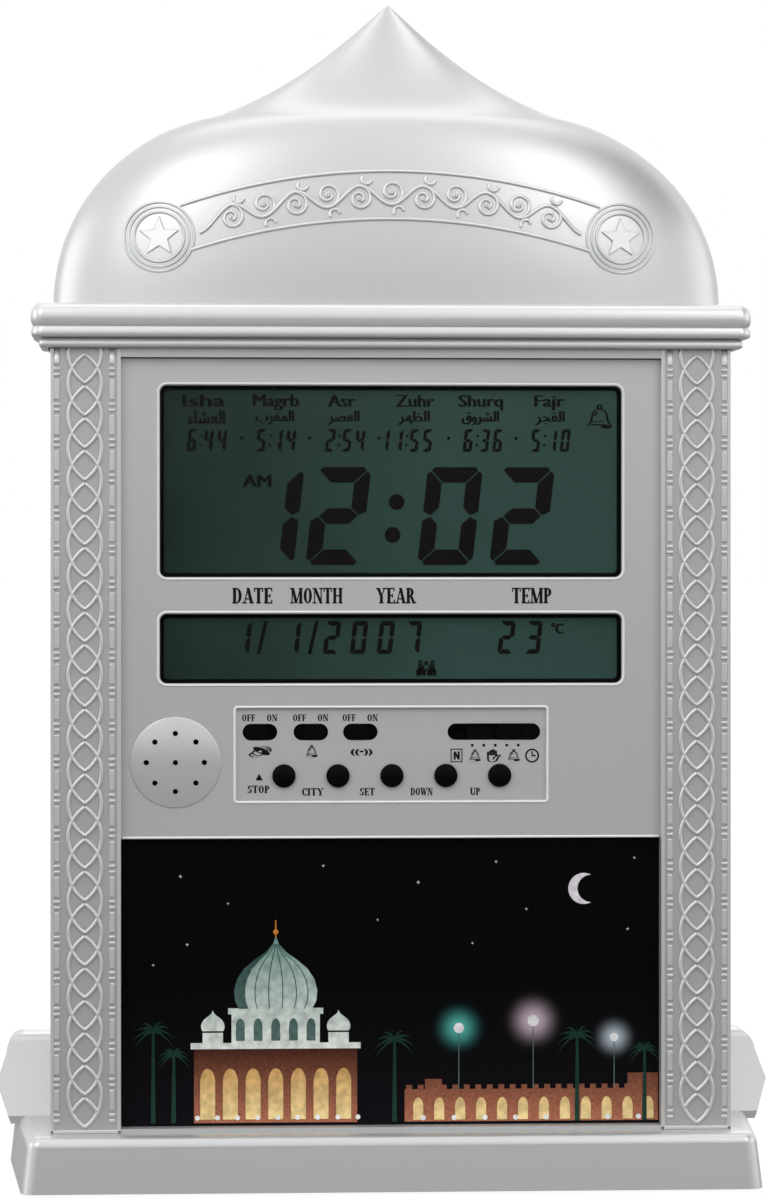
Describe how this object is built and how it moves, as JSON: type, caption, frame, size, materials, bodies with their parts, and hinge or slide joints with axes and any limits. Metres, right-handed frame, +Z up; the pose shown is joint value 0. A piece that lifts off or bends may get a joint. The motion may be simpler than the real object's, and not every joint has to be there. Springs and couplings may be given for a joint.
{
  "type": "prayer clock",
  "caption": "Desk prayer clock: onion dome over a bead cornice, two lattice pillars, two LCD windows, switch strip, speaker boss, picture panel, raised-back stand.",
  "frame": {"origin": "middle of the stand's footprint, on the table under the rubber feet", "axes": "+Z up, the displays face -Y, +X to the right as seen from the front"},
  "size_m": [0.2346, 0.084, 0.351],
  "materials": {
    "silver_abs": "satin silver painted ABS",
    "silver_abs_back": "matt silver painted ABS",
    "black_abs": "moulded black ABS",
    "printed_card": "printed and laminated card",
    "clear_acrylic": "clear acrylic",
    "lcd_glass": "LCD glass with its polarisers",
    "circuit_board": "FR-4 with green solder mask",
    "rubber": "moulded rubber",
    "cable_pvc": "PVC insulated lead",
    "nickel_steel": "nickel-plated steel",
    "screw_steel": "zinc-plated steel",
    "speaker_film": "thin plastic film",
    "magnet": "ferrite",
    "battery_can": "plain printed steel can"
  },
  "bodies": {
    "clock": {"dome_shell": "silver_abs", "cornice": "silver_abs", "front_case": "silver_abs", "front_panel": "silver_abs", "base": "silver_abs", "rear_cover": "silver_abs_back", "base_plate": "silver_abs_back", "rubber_feet": "rubber", "picture_card": "printed_card", "time_window": "clear_acrylic", "date_window": "clear_acrylic", "time_lcd": "lcd_glass", "date_lcd": "lcd_glass", "lcd_holder": "black_abs", "connector_strips": "rubber", "main_board": "circuit_board", "switch_board": "circuit_board", "board_components": "black_abs", "temperature_sensor": "black_abs", "ribbon_cable": "cable_pvc", "tact_switches": "black_abs", "slide_switches": "nickel_steel", "mode_switch": "nickel_steel", "speaker_frame": "nickel_steel", "speaker_cone": "speaker_film", "speaker_magnet": "magnet", "speaker_leads": "cable_pvc", "battery_leads": "cable_pvc", "contact_plates": "nickel_steel", "battery_springs": "nickel_steel", "case_screws": "screw_steel", "deck_screws": "screw_steel", "stand_screws": "screw_steel", "plate_screws": "screw_steel", "board_screws": "screw_steel", "battery_cell_lower": "battery_can", "battery_cell_middle": "battery_can", "battery_cell_upper": "battery_can"},
    "button_stop": {"push_button_stop": "black_abs"},
    "button_city": {"push_button_city": "black_abs"},
    "button_set": {"push_button_set": "black_abs"},
    "button_down": {"push_button_down": "black_abs"},
    "button_up": {"push_button_up": "black_abs"},
    "switch_left": {"slider_left": "black_abs"},
    "switch_middle": {"slider_middle": "black_abs"},
    "switch_right": {"slider_right": "black_abs"},
    "mode": {"mode_slider": "black_abs"},
    "door": {"battery_door": "silver_abs_back"}
  },
  "joints": [
    {"name": "press_stop", "type": "slide", "parent": "clock", "child": "button_stop", "axis": [0, 1, 0], "range_m": [0, 0.0008], "stiffness_N_per_m": 400},
    {"name": "press_city", "type": "slide", "parent": "clock", "child": "button_city", "axis": [0, 1, 0], "range_m": [0, 0.0008], "stiffness_N_per_m": 400},
    {"name": "press_set", "type": "slide", "parent": "clock", "child": "button_set", "axis": [0, 1, 0], "range_m": [0, 0.0008], "stiffness_N_per_m": 400},
    {"name": "press_down", "type": "slide", "parent": "clock", "child": "button_down", "axis": [0, 1, 0], "range_m": [0, 0.0008], "stiffness_N_per_m": 400},
    {"name": "press_up", "type": "slide", "parent": "clock", "child": "button_up", "axis": [0, 1, 0], "range_m": [0, 0.0008], "stiffness_N_per_m": 400},
    {"name": "slide_left", "type": "slide", "parent": "clock", "child": "switch_left", "axis": [1, 0, 0], "range_m": [0, 0.002]},
    {"name": "slide_middle", "type": "slide", "parent": "clock", "child": "switch_middle", "axis": [1, 0, 0], "range_m": [-0.002, 0]},
    {"name": "slide_right", "type": "slide", "parent": "clock", "child": "switch_right", "axis": [1, 0, 0], "range_m": [0, 0.002]},
    {"name": "slide_mode", "type": "slide", "parent": "clock", "child": "mode", "axis": [1, 0, 0], "range_m": [-0.0136, 0]},
    {"name": "door_hinge", "type": "hinge", "parent": "clock", "child": "door", "pos_m": [0, 0.015, 0.10335], "axis": [-1, 0, 0], "range_deg": [0, 90]}
  ]
}
